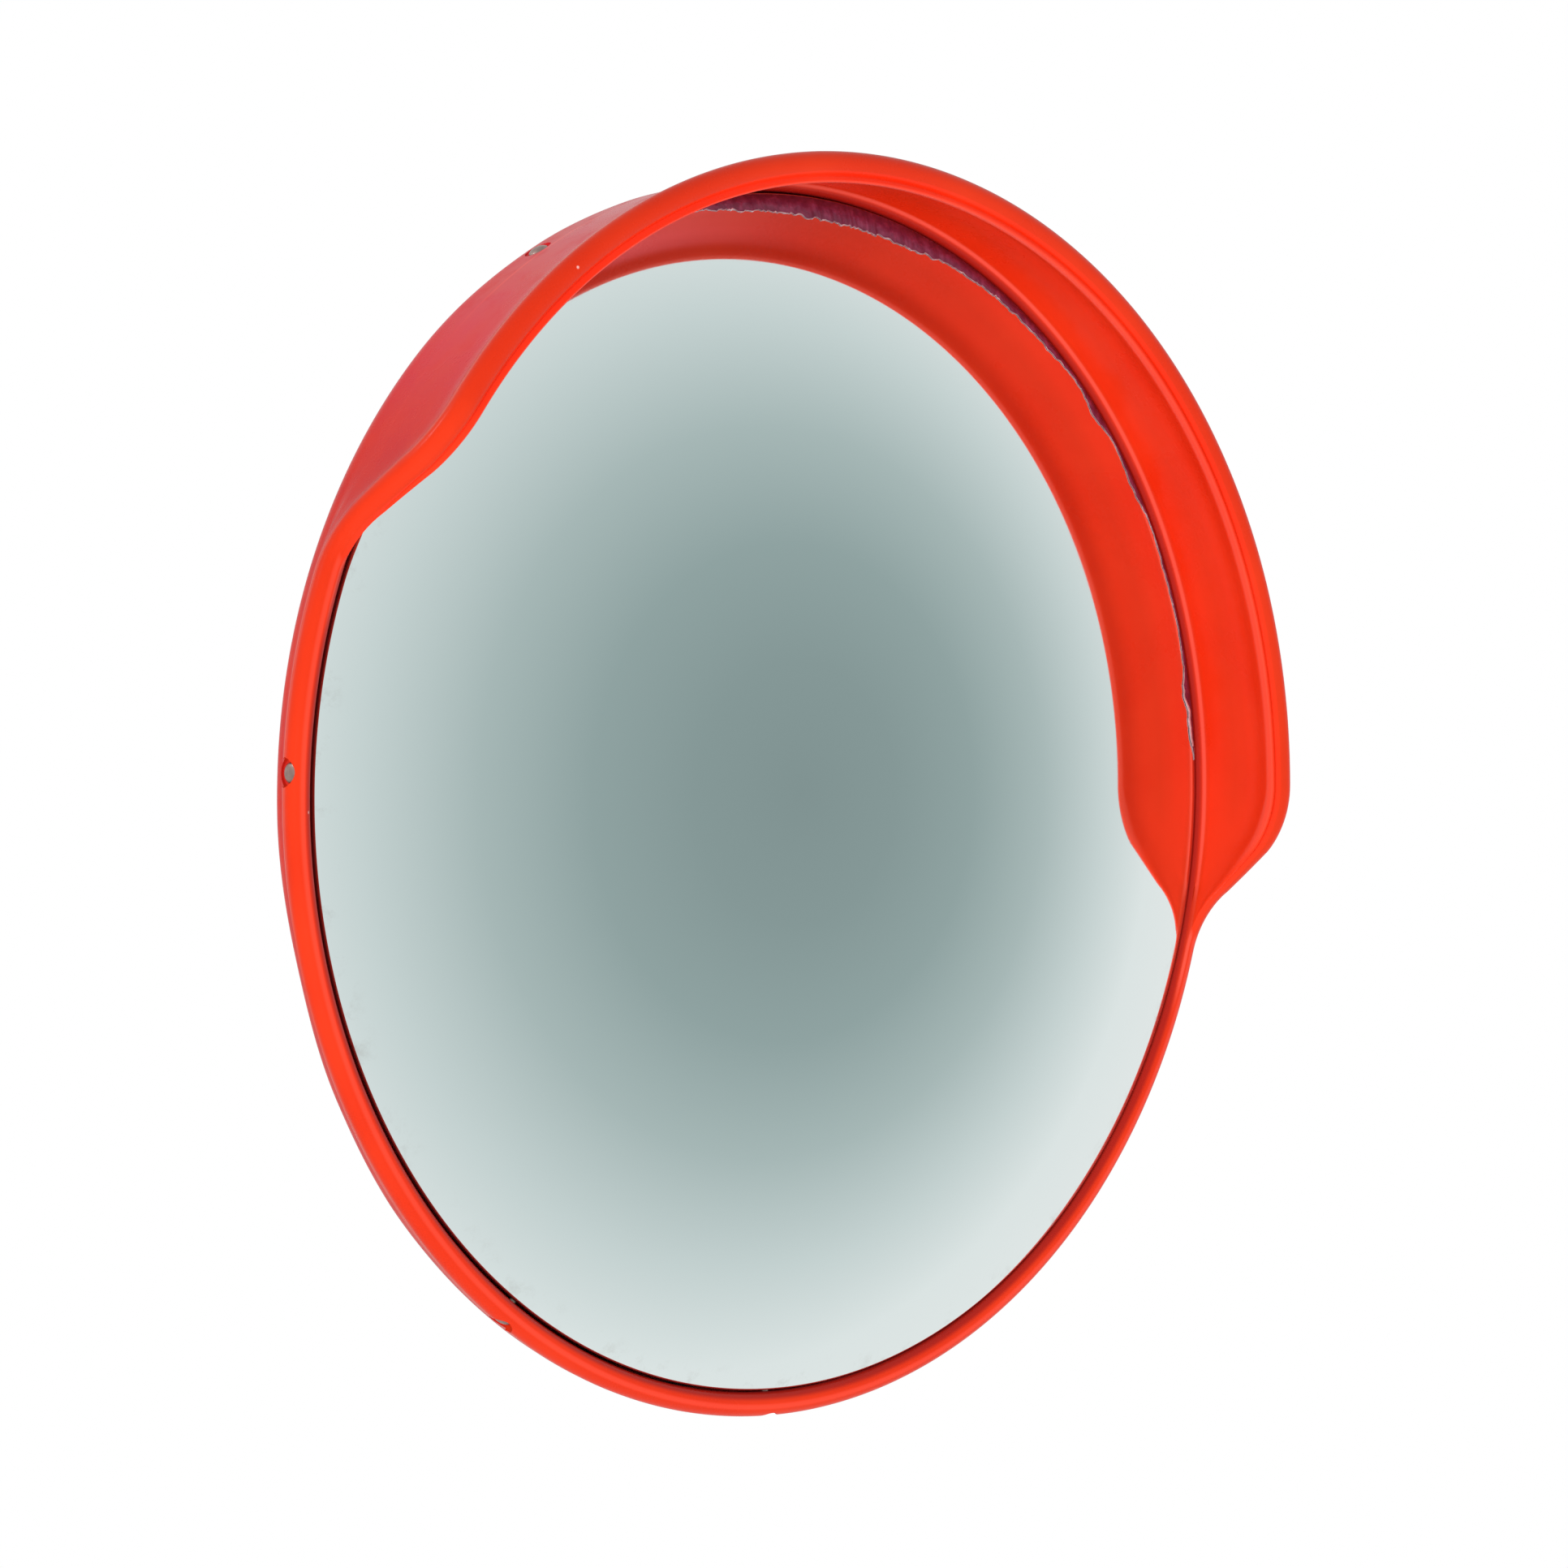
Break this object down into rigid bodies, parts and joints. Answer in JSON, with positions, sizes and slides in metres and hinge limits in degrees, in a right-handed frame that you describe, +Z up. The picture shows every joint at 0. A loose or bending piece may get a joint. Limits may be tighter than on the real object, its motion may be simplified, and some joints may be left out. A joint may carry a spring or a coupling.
{
  "type": "traffic convex mirror",
  "caption": "Round convex traffic mirror in a hooded moulded shell, on a tilting and panning steel bracket that clamps round a post.",
  "frame": {"origin": "centre of the pole clamp, on the post's axis", "axes": "+Z up the post, the mirror looks along -Y, +X to the right seen from the front"},
  "size_m": [0.6267, 0.3901, 0.5954],
  "materials": {
    "shell_plastic": "moulded orange-red, satin",
    "mirror_face": "silvered acrylic",
    "foam_rubber": "foam rubber",
    "screw_steel": "zinc plated",
    "nylon": "natural nylon",
    "galvanised_steel": "hot dip galvanised",
    "bolt_steel": "zinc plated",
    "clamp_rubber": "EPDM"
  },
  "bodies": {
    "pole_bracket": {"clamp_saddle": "galvanised_steel", "clamp_strap": "galvanised_steel", "front_liner": "clamp_rubber", "rear_liner": "clamp_rubber", "clamp_bolts": "bolt_steel", "clamp_washers": "bolt_steel", "clamp_spring_washers": "bolt_steel", "clamp_nuts": "bolt_steel", "pan_friction_washers": "nylon", "pan_washers": "bolt_steel", "pan_spring_washer": "bolt_steel", "pan_nut": "bolt_steel", "pan_bolt": "bolt_steel"},
    "swivel": {"swivel_knuckle": "galvanised_steel", "tilt_friction_washers": "nylon", "tilt_washers": "bolt_steel", "tilt_spring_washer": "bolt_steel", "tilt_nut": "bolt_steel", "tilt_bolt": "bolt_steel"},
    "mirror_head": {"hooded_shell": "shell_plastic", "mirror_lens": "mirror_face", "lens_gasket": "foam_rubber", "rim_screws": "screw_steel", "screw_anchors": "nylon", "backing_plate": "galvanised_steel", "bracket_pad": "clamp_rubber", "tilt_bracket": "galvanised_steel", "mount_bolts": "bolt_steel", "mount_washers": "bolt_steel", "mount_spring_washers": "bolt_steel", "mount_nuts": "bolt_steel"}
  },
  "joints": [
    {"name": "pan", "type": "hinge", "parent": "pole_bracket", "child": "swivel", "pos_m": [0, -0.07, 0], "axis": [0, 0, 1], "range_deg": [-45, 45]},
    {"name": "tilt", "type": "hinge", "parent": "swivel", "child": "mirror_head", "pos_m": [0, -0.104, 0], "axis": [1, 0, 0], "range_deg": [-24, 5]}
  ]
}
